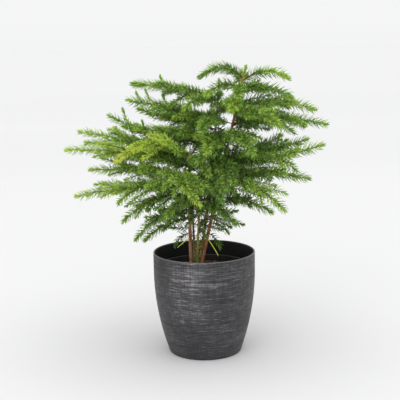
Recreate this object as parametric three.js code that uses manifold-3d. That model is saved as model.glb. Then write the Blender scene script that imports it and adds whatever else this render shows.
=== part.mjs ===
// Potted Norfolk pine: five slender trunks with arching fronds, growing in a
// nursery pot that stands inside a larger decorative pot. Units are millimetres,
// +Z is up and the origin is the centre of the decorative pot's underside.

import * as THREE from 'three';
import { mergeVertices } from 'three/addons/utils/BufferGeometryUtils.js';
import Module from 'manifold-3d';

const wasm = await Module();
wasm.setup();

// ---- Driving dimensions -------------------------------------------------

const GAP = 0.3;                 // clearance between pieces that touch
const ROUND_SEGMENTS = 36;       // facets around both pots

// Decorative pot: straight near the rim, then drawn in along a shallow arc.
const POT_HEIGHT = 166;
const POT_RADIUS = 82.5;
const POT_ARC_START = 135;       // height where the wall begins to curve inward
const POT_ARC_FACTOR = 770;      // twice the radius of that curve
const POT_FOOT_RADIUS = 57;
const POT_WALL = 2.4;
const POT_FLOOR = 3;

// Nursery pot standing on the decorative pot's floor.
const NURSERY_BASE_Z = POT_FLOOR + GAP;
const NURSERY_RIM_Z = 142;
const NURSERY_BAND = 14;         // height of the thicker rim band
const NURSERY_RIM_RADIUS = 76;
const NURSERY_TOP_RADIUS = 73;   // wall radius just under the rim band
const NURSERY_FOOT_RADIUS = 50;
const NURSERY_WALL = 1.4;
const DRAIN_HOLES = 6;
const DRAIN_RADIUS = 5;
const DRAIN_CIRCLE = 34;

const SOIL_Z = 134;              // level of the potting soil at the trunks
const SOIL_EDGE_DROP = 3;        // how much lower it lies at the pot's wall
const ROOT_DEPTH = 32;           // length of trunk below the soil's surface

// Trunks: where each leaves the soil, where it bends and where it ends.
const STEMS = {
  right: { foot: [-6.5, 0, SOIL_Z], bend: [28, 0, 290], top: [70, 0, 462], radius: [3.0, 1.4] },
  middle: { foot: [-9, 8, SOIL_Z], bend: [16, 12, 285], top: [28, 14, 440], radius: [2.7, 1.3] },
  left: { foot: [-21, -4, SOIL_Z], bend: [-24, -6, 230], top: [-20, -12, 328], radius: [3.0, 2.4] },
  centre: { foot: [-12, -9, SOIL_Z], bend: [-9, -18, 220], top: [-2, -36, 300], radius: [2.2, 1.2] },
  back: { foot: [-16, 15.5, SOIL_Z], bend: [-16, 26, 220], top: [-24, 44, 318], radius: [2.2, 1.2] },
};

// Fronds. height: where the frond leaves its trunk. turn: compass direction in
// degrees, 0 to the right (+X), 90 to the back (+Y). sweep: how far the turn
// changes towards the tip. length: along the frond. rise and fall: slope in
// degrees at the trunk and at the tip.
const frond = (stem, height, turn, length, rise, fall, sweep = 0) => (
  { stem, height, turn, sweep, length, rise, fall }
);
const FRONDS = [
  frond('right', 443, 183, 90, 46, -38),
  frond('right', 440, 0, 85, 35, -30),
  frond('right', 424, 264, 80, 20, -35),
  frond('right', 438, 90, 78, 28, -30),
  frond('right', 428, 212, 78, 25, -40),
  frond('right', 426, 8, 90, 12, -32),
  frond('right', 421, 60, 95, 20, -25),
  frond('right', 404, 262, 100, 18, -25),
  frond('right', 396, 3, 134, 18, -22),
  frond('right', 393, 100, 115, 15, -25),
  frond('right', 390, 305, 120, 12, -28),
  frond('right', 372, 357, 152, 12, -14),
  frond('right', 368, 50, 140, 14, -18),
  frond('right', 356, 285, 125, 8, -28),
  frond('right', 344, 238, 105, 6, -34),
  frond('right', 300, 30, 124, 20, 24),
  frond('right', 318, 12, 140, 2, 18),
  frond('right', 314, 270, 120, 4, -34),
  frond('right', 308, 352, 161, 4, 18),
  frond('right', 298, 75, 140, 10, -15),
  frond('right', 296, 342, 142, 4, -10),
  frond('right', 290, 315, 145, 0, -35),
  frond('right', 252, 340, 100, 8, -30),
  frond('middle', 410, 178, 138, 18, 4),
  frond('middle', 408, 232, 95, 20, -30),
  frond('middle', 362, 166, 132, 14, 14),
  frond('middle', 374, 184, 145, 20, 10),
  frond('middle', 378, 255, 105, 12, -25),
  frond('middle', 372, 110, 130, 15, -20),
  frond('middle', 350, 262, 110, 10, -25),
  frond('middle', 346, 196, 132, 14, 6),
  frond('middle', 335, 135, 150, 12, -12),
  frond('middle', 312, 288, 110, 5, -32),
  frond('middle', 292, 245, 115, 0, -38),
  frond('left', 323, 176, 143, 27, 27),
  frond('left', 316, 165, 193, 20, 6),
  frond('left', 305, 182, 200, 20, -2),
  frond('left', 316, 210, 172, 44, -38),
  frond('left', 314, 292, 92, 20, -42),
  frond('left', 290, 170, 165, 9, -3),
  frond('left', 288, 245, 165, 18, -38, 75),
  frond('left', 272, 201, 187, 8, -8),
  frond('left', 260, 205, 132, 10, -42),
  frond('left', 236, 190, 112, 0, -55),
  frond('left', 222, 176, 88, -8, -45),
  frond('centre', 286, 288, 105, 10, -28),
  frond('centre', 262, 228, 88, 8, -40),
  frond('centre', 250, 310, 92, 5, -35),
  frond('back', 304, 108, 150, 12, -18),
  frond('back', 262, 70, 140, 5, -20),
];

// Dry, yellowed side shoots low on the trunks.
const DRY_SHOOTS = [
  frond('left', 190, 222, 30, -22, -28),
  frond('right', 187, 312, 36, -38, -50),
];

// Side twigs along a frond. They grow on its inner part; its outer end is bare.
const FIRST_TWIG = 24;           // distance of the first pair from the trunk
const TWIG_PITCH = 27;
const TWIG_ANGLE = 46;           // between a twig and its frond, in degrees
const TWIGGED = 0.62;            // share of the frond's length that bears twigs
const BARE_LENGTH = 55;          // a frond shorter than this has no twigs
const TWIG_REACH = 0.8;          // longest twig as a share of the frond's length beyond that
const TWIG_LONGEST = 82;
const TWIG_SHORTEST = 14;
const CURVED_TWIG = 42;          // a twig longer than this gets a bend of its own
const FROND_RADIUS = [2.6, 1.6];
const TWIG_RADIUS = [1.3, 0.9];
const CLEAR = 5.5;               // least distance between two limbs' centre lines
const SAMPLE = 4;                // spacing of the points that test for it

const COLORS = {
  pot: 0x2b2c2e,
  nursery: 0x111112,
  soil: 0x4a3428,
  bark: 0x7a4a35,
  leaf: 0x4f9a2c,
  dry: 0xb7b24a,
};

// ---- Helpers ------------------------------------------------------------

const degrees = THREE.MathUtils.degToRad;

/** Repeatable number from 0 to 1 that varies irregularly with n. */
function noise(n) {
  const s = Math.sin(n * 12.9898) * 43758.5453;
  return s - Math.floor(s);
}

/** Unit vector that points towards a compass turn and a slope, in degrees. */
function direction(turn, slope) {
  const a = degrees(turn);
  const e = degrees(slope);
  return new THREE.Vector3(
    Math.cos(e) * Math.cos(a),
    Math.cos(e) * Math.sin(a),
    Math.sin(e),
  );
}

/** Curve that leaves `start` along `first` and arrives along `last`. */
function arc(start, first, last, length) {
  const mid = start.clone().addScaledVector(first, length / 2);
  const end = mid.clone().addScaledVector(last, length / 2);
  return new THREE.QuadraticBezierCurve3(start, mid, end);
}

/** Bends an upright, tapered cylinder so that it follows a curve. */
function limb(curve, radii, sides, steps, from = 0) {
  const geometry = new THREE.CylinderGeometry(radii[1], radii[0], 1, sides, steps);
  const position = geometry.getAttribute('position');
  const across = new THREE.Vector3();
  const over = new THREE.Vector3();
  for (let i = 0; i < position.count; i += 1) {
    const t = from + (position.getY(i) + 0.5) * (1 - from);
    const tangent = curve.getTangent(t);
    const steep = Math.abs(tangent.z) > 0.9;
    const reference = steep ? new THREE.Vector3(0, 1, 0) : new THREE.Vector3(0, 0, 1);
    across.crossVectors(reference, tangent).normalize();
    over.crossVectors(tangent, across);
    const point = curve.getPoint(t);
    point.addScaledVector(across, position.getZ(i));
    point.addScaledVector(over, position.getX(i));
    position.setXYZ(i, point.x, point.y, point.z);
  }
  return geometry;
}

/** Closed geometry to manifold solid. */
function solid(geometry) {
  const bare = new THREE.BufferGeometry();
  bare.setAttribute('position', geometry.getAttribute('position').clone());
  bare.setIndex(geometry.getIndex());
  const merged = mergeVertices(bare, 1e-4);
  const index = merged.getIndex().array;
  const kept = [];
  for (let i = 0; i < index.length; i += 3) {
    const [a, b, c] = [index[i], index[i + 1], index[i + 2]];
    if (a !== b && b !== c && c !== a) kept.push(a, b, c);
  }
  return new wasm.Manifold(new wasm.Mesh({
    numProp: 3,
    vertProperties: new Float32Array(merged.getAttribute('position').array),
    triVerts: new Uint32Array(kept),
  }));
}

/** Manifold solid back to geometry. */
function toGeometry(body) {
  const mesh = body.getMesh();
  const geometry = new THREE.BufferGeometry();
  geometry.setAttribute('position', new THREE.BufferAttribute(mesh.vertProperties, 3));
  geometry.setIndex(new THREE.BufferAttribute(mesh.triVerts, 1));
  geometry.computeVertexNormals();
  return geometry;
}

/** Solid of revolution about +Z from [radius, height] pairs. */
function turned(profile, segments = ROUND_SEGMENTS) {
  const points = profile.map(([r, z]) => new THREE.Vector2(r, z));
  return new THREE.LatheGeometry(points, segments).rotateX(Math.PI / 2);
}

const object = new THREE.Group();
object.name = 'potted_norfolk_pine';

function addPiece(name, geometry, color, roughness) {
  const material = new THREE.MeshStandardMaterial({ color, roughness, metalness: 0 });
  const mesh = new THREE.Mesh(geometry, material);
  mesh.name = name;
  object.add(mesh);
}

// ---- Pots and soil ------------------------------------------------------

/** Outer radius of the decorative pot at height z. */
function potRadius(z) {
  const below = Math.max(0, POT_ARC_START - z);
  return POT_RADIUS - (below * below) / POT_ARC_FACTOR;
}

function outerPot() {
  const levels = [4, 26, 52, 80, 108, POT_ARC_START];
  const outside = levels.map((z) => [potRadius(z), z]);
  const inside = [112, 76, 38].map((z) => [potRadius(z) - POT_WALL, z]);
  const lip = POT_WALL / 4;
  return turned([
    [0, 0],
    [POT_FOOT_RADIUS, 0],
    [potRadius(1) - 0.6, 1],
    ...outside,
    [POT_RADIUS, POT_HEIGHT - lip],
    [POT_RADIUS - lip, POT_HEIGHT],
    [POT_RADIUS - POT_WALL + lip, POT_HEIGHT],
    [POT_RADIUS - POT_WALL, POT_HEIGHT - lip],
    ...inside,
    [potRadius(8) - POT_WALL, 8],
    [potRadius(POT_FLOOR) - POT_WALL - 4, POT_FLOOR],
    [0, POT_FLOOR],
  ]);
}

function nurseryPot() {
  const base = NURSERY_BASE_Z;
  const shoulder = NURSERY_RIM_Z - NURSERY_BAND;
  const shell = solid(turned([
    [0, base],
    [NURSERY_FOOT_RADIUS, base],
    [NURSERY_TOP_RADIUS, shoulder],
    [NURSERY_RIM_RADIUS - 0.8, shoulder + 1],
    [NURSERY_RIM_RADIUS, NURSERY_RIM_Z - 1],
    [NURSERY_RIM_RADIUS - 0.4, NURSERY_RIM_Z],
    [NURSERY_RIM_RADIUS - NURSERY_WALL, NURSERY_RIM_Z],
    [NURSERY_RIM_RADIUS - NURSERY_WALL - 0.8, shoulder + 3],
    [NURSERY_TOP_RADIUS - NURSERY_WALL, shoulder + 1],
    [NURSERY_FOOT_RADIUS - NURSERY_WALL, base + NURSERY_WALL],
    [0, base + NURSERY_WALL],
  ]));
  let result = shell;
  for (let i = 0; i < DRAIN_HOLES; i += 1) {
    const a = (i * 2 * Math.PI) / DRAIN_HOLES;
    const drill = new THREE.CylinderGeometry(DRAIN_RADIUS, DRAIN_RADIUS, 10, 12);
    drill.rotateX(Math.PI / 2);
    drill.translate(DRAIN_CIRCLE * Math.cos(a), DRAIN_CIRCLE * Math.sin(a), base);
    result = result.subtract(solid(drill));
  }
  return toGeometry(result);
}

function pottingSoil() {
  const bottom = NURSERY_BASE_Z + NURSERY_WALL + GAP;
  const shoulder = NURSERY_RIM_Z - NURSERY_BAND;
  const foot = NURSERY_FOOT_RADIUS - NURSERY_WALL - GAP - 0.3;
  const top = NURSERY_TOP_RADIUS - NURSERY_WALL - GAP - 0.3;
  let plug = solid(turned([
    [0, bottom],
    [foot, bottom],
    [top, shoulder],
    [top, SOIL_Z - SOIL_EDGE_DROP],
    [top - 14, SOIL_Z - 1],
    [40, SOIL_Z],
    [0, SOIL_Z],
  ], 40));
  for (const stem of Object.values(STEMS)) {
    plug = plug.subtract(solid(trunkShape(stem, GAP)));
  }
  return toGeometry(plug);
}

// ---- Trunks -------------------------------------------------------------

function stemCurve({ foot, bend, top }) {
  return new THREE.QuadraticBezierCurve3(
    new THREE.Vector3(...foot),
    new THREE.Vector3(...bend),
    new THREE.Vector3(...top),
  );
}

/** Trunk from its root end in the soil to its tip, grown outward by `extra`. */
function trunkShape(stem, extra = 0) {
  const above = stemCurve(stem);
  const below = above.getTangent(0).multiplyScalar(-(ROOT_DEPTH + extra));
  const root = above.v0.clone().add(below);
  const rootRadius = stem.radius[0] + extra;
  const buried = new THREE.LineCurve3(root, above.v0);
  const path = new THREE.CurvePath();
  path.add(buried);
  path.add(above);
  const share = ROOT_DEPTH / (ROOT_DEPTH + above.getLength());
  const taper = (stem.radius[0] - stem.radius[1]) / (1 - share);
  const geometry = new THREE.CylinderGeometry(1, 1, 1, 8, 10);
  const position = geometry.getAttribute('position');
  const ahead = new THREE.Vector3(0, 1, 0);
  for (let i = 0; i < position.count; i += 1) {
    const t = position.getY(i) + 0.5;
    const radius = Math.min(rootRadius, stem.radius[0] + extra - taper * (t - share));
    const tangent = path.getTangentAt(Math.min(t, 0.9999));
    const across = new THREE.Vector3().crossVectors(ahead, tangent).normalize();
    const over = new THREE.Vector3().crossVectors(tangent, across);
    const point = path.getPointAt(t);
    point.addScaledVector(across, position.getZ(i) * radius);
    point.addScaledVector(over, position.getX(i) * radius);
    position.setXYZ(i, point.x, point.y, point.z);
  }
  return geometry;
}

/** Point on a trunk's centre line at a height, with the trunk's radius there. */
function stemAt(name, height) {
  const stem = STEMS[name];
  const [a, b, c] = [stem.foot[2], stem.bend[2], stem.top[2]];
  const square = a - 2 * b + c;
  const linear = 2 * (b - a);
  const offset = a - height;
  const t = Math.abs(square) < 1e-9
    ? -offset / linear
    : (-linear + Math.sqrt(linear * linear - 4 * square * offset)) / (2 * square);
  return { point: stemCurve(stem).getPoint(t), radius: stem.radius[0] };
}

// ---- Fronds -------------------------------------------------------------

/** Centre line of a frond, from its trunk's centre line to its tip. */
function frondCurve(row) {
  const { point } = stemAt(row.stem, row.height);
  const first = direction(row.turn, row.rise);
  const last = direction(row.turn + row.sweep, row.fall);
  return arc(point, first, last, row.length);
}

/** Share of the curve at which a frond clears its trunk's bark. */
function frondStart(row) {
  const { radius } = stemAt(row.stem, row.height);
  const slope = degrees(row.rise);
  const reach = radius + GAP + 0.4 + FROND_RADIUS[0] * Math.abs(Math.sin(slope));
  return reach / Math.cos(slope) / row.length;
}

/** Centre lines of the side twigs of frond number `number`. */
function twigCurves(row, number) {
  const axis = frondCurve(row);
  const twigs = [];
  for (let k = 0; FIRST_TWIG + k * TWIG_PITCH < row.length * TWIGGED; k += 1) {
    for (const side of [-1, 1]) {
      const seed = number * 97 + k * 2 + (side + 1) / 2;
      const t = (FIRST_TWIG + TWIG_PITCH * (k + 0.2 * side)) / row.length;
      const shape = Math.max(0, 1 - t / 0.9) ** 0.5;
      const reach = TWIG_REACH * (row.length - BARE_LENGTH);
      const wanted = reach * shape * (0.75 + 0.4 * noise(seed));
      const length = Math.min(wanted, TWIG_LONGEST);
      const tangent = axis.getTangent(t);
      const outward = new THREE.Vector3(0, 0, 1).cross(tangent).normalize();
      const lift = 0.1 + 0.5 * (noise(seed + 0.37) - 0.5);
      const first = twigDirection(tangent, outward, side, TWIG_ANGLE, lift);
      const last = twigDirection(tangent, outward, side, TWIG_ANGLE * 0.6, lift - 0.35);
      if (length >= TWIG_SHORTEST) {
        twigs.push(arc(axis.getPoint(t), first, last, length));
      }
    }
  }
  return twigs;
}

function twigDirection(tangent, outward, side, angle, lift) {
  const a = degrees(angle);
  return tangent.clone()
    .multiplyScalar(Math.cos(a))
    .addScaledVector(outward, side * Math.sin(a))
    .add(new THREE.Vector3(0, 0, lift))
    .normalize();
}

function samplePoints(curve, from = 0, to = 1) {
  const length = curve.getLength() * (to - from);
  const count = Math.max(2, Math.ceil(length / SAMPLE));
  const points = [];
  for (let i = 0; i <= count; i += 1) {
    points.push(curve.getPoint(from + ((to - from) * i) / count));
  }
  return points;
}

/** Part of a twig, from 0 to 1, that stays clear of every other limb. */
function freeShare(curve, others) {
  const points = samplePoints(curve);
  const blocked = points.findIndex((p) => others.some(
    (q) => p.distanceToSquared(q) < CLEAR * CLEAR,
  ));
  return blocked < 0 ? 1 : (blocked - 1.5) / (points.length - 1);
}

/** First part of a quadratic curve. */
function shortened(curve, share) {
  const a = curve.v0;
  const b = a.clone().lerp(curve.v1, share);
  return new THREE.QuadraticBezierCurve3(a, b, curve.getPoint(share));
}

/** All limbs of all fronds, with the twigs cut short where another limb passes. */
function growFronds(rows) {
  const placed = rows.map((row) => samplePoints(frondCurve(row), frondStart(row)));
  const trunks = Object.values(STEMS).flatMap((s) => samplePoints(stemCurve(s)));
  return rows.map((row, number) => {
    const others = placed.filter((_, i) => i !== number).flat().concat(trunks);
    const twigs = [];
    for (const twig of twigCurves(row, number)) {
      const share = freeShare(twig, others);
      if (share * twig.getLength() >= TWIG_SHORTEST) {
        twigs.push(share < 1 ? shortened(twig, share) : twig);
      }
    }
    twigs.forEach((twig) => placed[number].push(...samplePoints(twig)));
    return { row, twigs };
  });
}

function frondGeometry({ row, twigs }) {
  const axis = frondCurve(row);
  let body = solid(limb(axis, FROND_RADIUS, 4, 4, frondStart(row)));
  for (const twig of twigs) {
    const steps = twig.getLength() > CURVED_TWIG ? 2 : 1;
    body = body.add(solid(limb(twig, TWIG_RADIUS, 3, steps)));
  }
  return toGeometry(body);
}

// ---- Assembly -----------------------------------------------------------

addPiece('outer_pot', outerPot(), COLORS.pot, 0.55);
addPiece('nursery_pot', nurseryPot(), COLORS.nursery, 0.6);
addPiece('potting_soil', pottingSoil(), COLORS.soil, 0.95);

for (const [name, stem] of Object.entries(STEMS)) {
  addPiece(`${name}_trunk`, trunkShape(stem), COLORS.bark, 0.9);
}

const counts = {};
for (const grown of growFronds(FRONDS)) {
  const { stem } = grown.row;
  counts[stem] = (counts[stem] ?? 0) + 1;
  const label = String(counts[stem]).padStart(2, '0');
  addPiece(`${stem}_frond_${label}`, frondGeometry(grown), COLORS.leaf, 0.7);
}

DRY_SHOOTS.forEach((row) => {
  const shoot = limb(frondCurve(row), [1.0, 0.7], 4, 3, frondStart(row));
  addPiece(`${row.stem}_dry_shoot`, shoot, COLORS.dry, 0.8);
});

export default object;
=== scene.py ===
import math

import bpy
import numpy as np
from mathutils import Matrix, Vector


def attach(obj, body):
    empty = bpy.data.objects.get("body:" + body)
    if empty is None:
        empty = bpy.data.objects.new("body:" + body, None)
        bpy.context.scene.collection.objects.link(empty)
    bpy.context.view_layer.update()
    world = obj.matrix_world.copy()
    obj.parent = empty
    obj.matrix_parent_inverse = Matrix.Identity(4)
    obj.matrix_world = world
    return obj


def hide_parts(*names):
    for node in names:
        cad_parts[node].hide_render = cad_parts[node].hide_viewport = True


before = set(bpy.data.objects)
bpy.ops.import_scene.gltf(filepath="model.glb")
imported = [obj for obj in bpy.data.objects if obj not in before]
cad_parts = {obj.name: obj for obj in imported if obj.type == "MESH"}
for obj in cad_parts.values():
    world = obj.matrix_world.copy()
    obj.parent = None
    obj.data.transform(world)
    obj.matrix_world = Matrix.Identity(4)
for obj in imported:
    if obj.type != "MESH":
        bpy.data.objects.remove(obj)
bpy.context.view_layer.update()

MM = 0.001
GOLDEN = math.radians(137.508)
LITTER_SEED = 71
TRUNK_SEED = 900
FROND_SEED = 4000


def radius_and_top(name):
    """A solid's radius about +Z and the height of its top in millimetres, to the nearest tenth."""
    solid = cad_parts[name]
    points = [solid.matrix_world @ vertex.co for vertex in solid.data.vertices]
    radius = max(math.hypot(point.x, point.y) for point in points)
    return round(radius / MM, 1), round(max(point.z for point in points) / MM, 1)


# ---- Pots and soil, in millimetres ---------------------------------------

POT_RADIUS, POT_HEIGHT = radius_and_top("outer_pot")
_, NURSERY_RIM_Z = radius_and_top("nursery_pot")
POT_WALL = 2.4
POT_FLOOR = 3
POT_ARC_START = 135       # height where the wall begins to curve inward
POT_ARC_FACTOR = 770      # twice the radius of that curve
FOOT_RADIUS = 57
FOOT_ROUNDING = 2.7
SOIL_Z = 134              # level of the soil at the trunks
SOIL_RADIUS = 71
SOIL_FOOT_RADIUS = 48
SOIL_BOTTOM = 5
SOIL_SHOULDER = 128       # where the soil's side ends and its uneven top begins
CHIPS = 420
DRY_BITS = 34             # half of them heaped at the trunks' foot, the others spread out
HEAP_SPREAD = 17
LOOSE_SPREAD = 46
HEAPED_ASIDE = 9          # how many of the heaped ones lie to the right, and how far
HEAP_ASIDE = 14
LITTER_LIMIT = 55         # farthest from the middle that a dry bit starts

# ---- The plant's growth, in millimetres and degrees ----------------------

# Trunks: where each leaves the soil, where it bends, where it ends, and its radius at both ends.
STEMS = {
    "right": dict(foot=(-6.5, 0, SOIL_Z), bend=(28, 0, 290), top=(70, 0, 462), radius=(3.0, 1.4)),
    "middle": dict(foot=(-9, 8, SOIL_Z), bend=(16, 12, 285), top=(28, 14, 440), radius=(2.7, 1.3)),
    "left": dict(foot=(-21, -4, SOIL_Z), bend=(-24, -6, 230), top=(-20, -12, 328), radius=(3.0, 2.4)),
    "centre": dict(foot=(-12, -9, SOIL_Z), bend=(-9, -18, 220), top=(-2, -36, 300), radius=(2.2, 1.2)),
    "back": dict(foot=(-16, 15.5, SOIL_Z), bend=(-16, 26, 220), top=(-24, 44, 318), radius=(2.2, 1.2)),
}


def frond(stem, height, turn, length, rise, fall, sweep=0):
    """A limb: the trunk and height it leaves at, its turn about +Z, its length along the arc, its slope
    at both ends, and how far its turn changes towards the tip."""
    return dict(stem=stem, height=height, turn=turn, sweep=sweep, length=length, rise=rise, fall=fall)


FRONDS = [
    frond("right", 443, 183, 90, 46, -38),
    frond("right", 440, 0, 85, 35, -30),
    frond("right", 424, 264, 80, 20, -35),
    frond("right", 438, 90, 78, 28, -30),
    frond("right", 428, 212, 78, 25, -40),
    frond("right", 426, 8, 90, 12, -32),
    frond("right", 421, 60, 95, 20, -25),
    frond("right", 404, 262, 100, 18, -25),
    frond("right", 396, 3, 134, 18, -22),
    frond("right", 393, 100, 115, 15, -25),
    frond("right", 390, 305, 120, 12, -28),
    frond("right", 372, 357, 152, 12, -14),
    frond("right", 368, 50, 140, 14, -18),
    frond("right", 356, 285, 125, 8, -28),
    frond("right", 344, 238, 105, 6, -34),
    frond("right", 300, 30, 124, 20, 24),
    frond("right", 318, 12, 140, 2, 18),
    frond("right", 314, 270, 120, 4, -34),
    frond("right", 308, 352, 161, 4, 18),
    frond("right", 298, 75, 140, 10, -15),
    frond("right", 296, 342, 142, 4, -10),
    frond("right", 290, 315, 145, 0, -35),
    frond("right", 252, 340, 100, 8, -30),
    frond("middle", 410, 178, 138, 18, 4),
    frond("middle", 408, 232, 95, 20, -30),
    frond("middle", 362, 166, 132, 14, 14),
    frond("middle", 374, 184, 145, 20, 10),
    frond("middle", 378, 255, 105, 12, -25),
    frond("middle", 372, 110, 130, 15, -20),
    frond("middle", 350, 262, 110, 10, -25),
    frond("middle", 346, 196, 132, 14, 6),
    frond("middle", 335, 135, 150, 12, -12),
    frond("middle", 312, 288, 110, 5, -32),
    frond("middle", 292, 245, 115, 0, -38),
    frond("left", 323, 176, 143, 27, 27),
    frond("left", 316, 165, 193, 20, 6),
    frond("left", 305, 182, 200, 20, -2),
    frond("left", 316, 210, 172, 44, -38),
    frond("left", 314, 292, 92, 20, -42),
    frond("left", 290, 170, 165, 9, -3),
    frond("left", 288, 245, 165, 18, -38, 75),
    frond("left", 272, 201, 187, 8, -8),
    frond("left", 260, 205, 132, 10, -42),
    frond("left", 236, 190, 112, 0, -55),
    frond("left", 222, 176, 88, -8, -45),
    frond("centre", 286, 288, 105, 10, -28),
    frond("centre", 262, 228, 88, 8, -40),
    frond("centre", 250, 310, 92, 5, -35),
    frond("back", 304, 108, 150, 12, -18),
    frond("back", 262, 70, 140, 5, -20),
]

# How much yellower (above 0) or deeper green (below 0) a frond is than the rest: the yellower ones are their
# own colour, the deeper green on inner and back fronds is painted shade.
FROND_TONE_AND_SHADE = {
    "left_frond_04": 0.30, "left_frond_03": 0.08, "left_frond_01": -0.04, "left_frond_07": 0.07,
    "left_frond_08": 0.04, "left_frond_10": -0.08, "left_frond_11": -0.10, "centre_frond_01": -0.12,
    "centre_frond_02": -0.12, "centre_frond_03": -0.14, "middle_frond_10": -0.14, "middle_frond_11": -0.12,
    "middle_frond_09": -0.10, "right_frond_02": 0.08, "right_frond_09": 0.08, "right_frond_22": 0.10,
    "right_frond_12": -0.04, "right_frond_16": -0.06, "right_frond_23": -0.04, "right_frond_18": -0.10,
    "right_frond_15": -0.08, "back_frond_01": -0.15, "back_frond_02": -0.18,
}

# Shoots that stand up from a frond: how far along it each starts, and its length.
UPTURNED = {
    "middle_frond_04": ((0.52, 26), (0.70, 30), (0.84, 20)),
    "left_frond_01": ((0.72, 32), (0.5, 26)),
    "left_frond_02": ((0.45, 30), (0.6, 24)),
    "middle_frond_01": ((0.6, 22),),
    "right_frond_17": ((0.55, 30),),
}

# Fronds that end in a thick closed tip.
FAT_TIPS = {"right_frond_01", "right_frond_02", "right_frond_05", "right_frond_06", "middle_frond_01"}

# Dead shoots low on the trunks.
DRY_SHOOTS = [
    frond("left", 190, 222, 30, -22, -28),
    frond("right", 187, 312, 36, -38, -50),
]

# Short green shoots straight from a trunk.
SPRIGS = [
    frond("right", 196, 350, 34, -35, -70),
    frond("right", 212, 20, 40, -10, -55),
    frond("left", 198, 168, 38, -20, -65),
    frond("left", 205, 184, 30, 4, 2),
    frond("left", 322, 10, 46, 62, 12),
    frond("left", 318, 60, 44, 50, 10),
    frond("left", 314, 350, 40, 30, -10),
    frond("middle", 215, 250, 34, 10, -40),
    frond("centre", 205, 300, 30, 10, -45),
    frond("centre", 228, 235, 40, 10, -40),
]

# Heights between which a trunk also bears fine inner shoots.
INNER_SHOOTS = {
    "right": (236, 412), "middle": (222, 410), "left": (212, 318), "centre": (214, 292), "back": (226, 308),
}
INNER_PITCH = 8
INNER_TURN = 137.5

# Side twigs along a frond. Every second place of the fine pitch has a twig of the solid.
FIRST_TWIG = 24           # distance of the first pair from the trunk
TWIG_PITCH = 27
FINE_PITCH = 13.5
TWIG_ANGLE = 46           # between a twig and its frond
TWIGGED = 0.62            # share of the frond's length that bears twigs
BARE_LENGTH = 55          # a frond shorter than this has no twigs
TWIG_REACH = 0.8          # longest twig as a share of the frond's length beyond that
TWIG_LONGEST = 82
TWIG_SHORTEST = 14
BUD_PITCH = 13            # between the very short twigs on a frond's outer end
BUD_ANGLE = 52
CLEAR = 5.5               # least distance between the centre lines of two limbs
FINE_CLEAR = 3.0          # the same for a twig that the solid leaves out
SAMPLE = 4                # spacing of the points that test for it

# Needles: their angle to the limb, how much less it is at the tip, and how far they curl back.
NEEDLE_OPEN = 62
TIP_CLOSING = 34
NEEDLE_CURL = 16
TIP_FADE = 9              # distance over which needles shorten towards the tip
YOUNG_LENGTH = 26         # length of trunk below its tip that still has needles

# Places on the needle colour ramp.
TINT = 0.53
# INNER_TINT: darker green for each frond's part near the trunk, partly older needles and partly painted
# shade.
INNER_TINT = 0.33
TWIG_BARK = (0.08, 0.18)
FROND_BARK = (0.02, 0.16)

UP = np.array([0.0, 0.0, 1.0])


def noise(n):
    """Repeatable number from 0 to 1 that varies irregularly with n."""
    s = np.sin(n * 12.9898) * 43758.5453
    return s - np.floor(s)


def unit(v):
    return v / np.linalg.norm(v, axis=-1, keepdims=True)


def direction(turn, slope):
    """Unit vector from a turn about +Z and a slope above the level, in degrees."""
    a, e = math.radians(turn), math.radians(slope)
    return np.array([math.cos(e) * math.cos(a), math.cos(e) * math.sin(a), math.sin(e)])


def arc(start, first, last, length):
    """Control points of a curve that leaves along first and ends along last."""
    mid = start + first * length / 2
    return np.array([start, mid, mid + last * length / 2])


def at(curve, t):
    """Points of a quadratic Bezier curve, t from 0 to 1."""
    t = np.atleast_1d(np.asarray(t, float))[:, None]
    return (1 - t) ** 2 * curve[0] + 2 * t * (1 - t) * curve[1] + t ** 2 * curve[2]


def tangent(curve, t):
    t = np.atleast_1d(np.asarray(t, float))[:, None]
    return unit(2 * (1 - t) * (curve[1] - curve[0]) + 2 * t * (curve[2] - curve[1]))


def curve_length(curve):
    points = at(curve, np.linspace(0, 1, 33))
    return float(np.linalg.norm(np.diff(points, axis=0), axis=1).sum())


def stem_curve(stem):
    return np.array([stem["foot"], stem["bend"], stem["top"]], float)


def stem_share(stem, height):
    """The t at which a trunk reaches a height."""
    a, b, c = stem["foot"][2], stem["bend"][2], stem["top"][2]
    square, linear, offset = a - 2 * b + c, 2 * (b - a), a - height
    if abs(square) < 1e-9:
        return -offset / linear
    return (-linear + math.sqrt(linear * linear - 4 * square * offset)) / (2 * square)


def frond_curve(row):
    stem = STEMS[row["stem"]]
    start = at(stem_curve(stem), stem_share(stem, row["height"]))[0]
    first = direction(row["turn"], row["rise"])
    last = direction(row["turn"] + row["sweep"], row["fall"])
    return arc(start, first, last, row["length"])


def twig_direction(forward, outward, side, angle, lift):
    a = math.radians(angle)
    return unit(forward * math.cos(a) + outward * side * math.sin(a) + UP * lift)


def twig(row, axis, along, side, seed, scatter=0.5, share=1.0):
    """One side twig that leaves the frond `along` mm from the trunk, or None if it is too short."""
    t = along / row["length"]
    shape = max(0, 1 - t / 0.9) ** 0.5
    reach = TWIG_REACH * (row["length"] - BARE_LENGTH)
    length = min(reach * shape * (0.75 + 0.4 * noise(seed)), TWIG_LONGEST) * share
    if length < TWIG_SHORTEST:
        return None
    forward = tangent(axis, t)[0]
    outward = unit(np.cross(UP, forward))
    lift = 0.1 + scatter * (noise(seed + 0.37) - 0.5)
    first = twig_direction(forward, outward, side, TWIG_ANGLE, lift)
    last = twig_direction(forward, outward, side, TWIG_ANGLE * 0.6, lift - 0.35)
    return arc(at(axis, t)[0], first, last, length)


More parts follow.
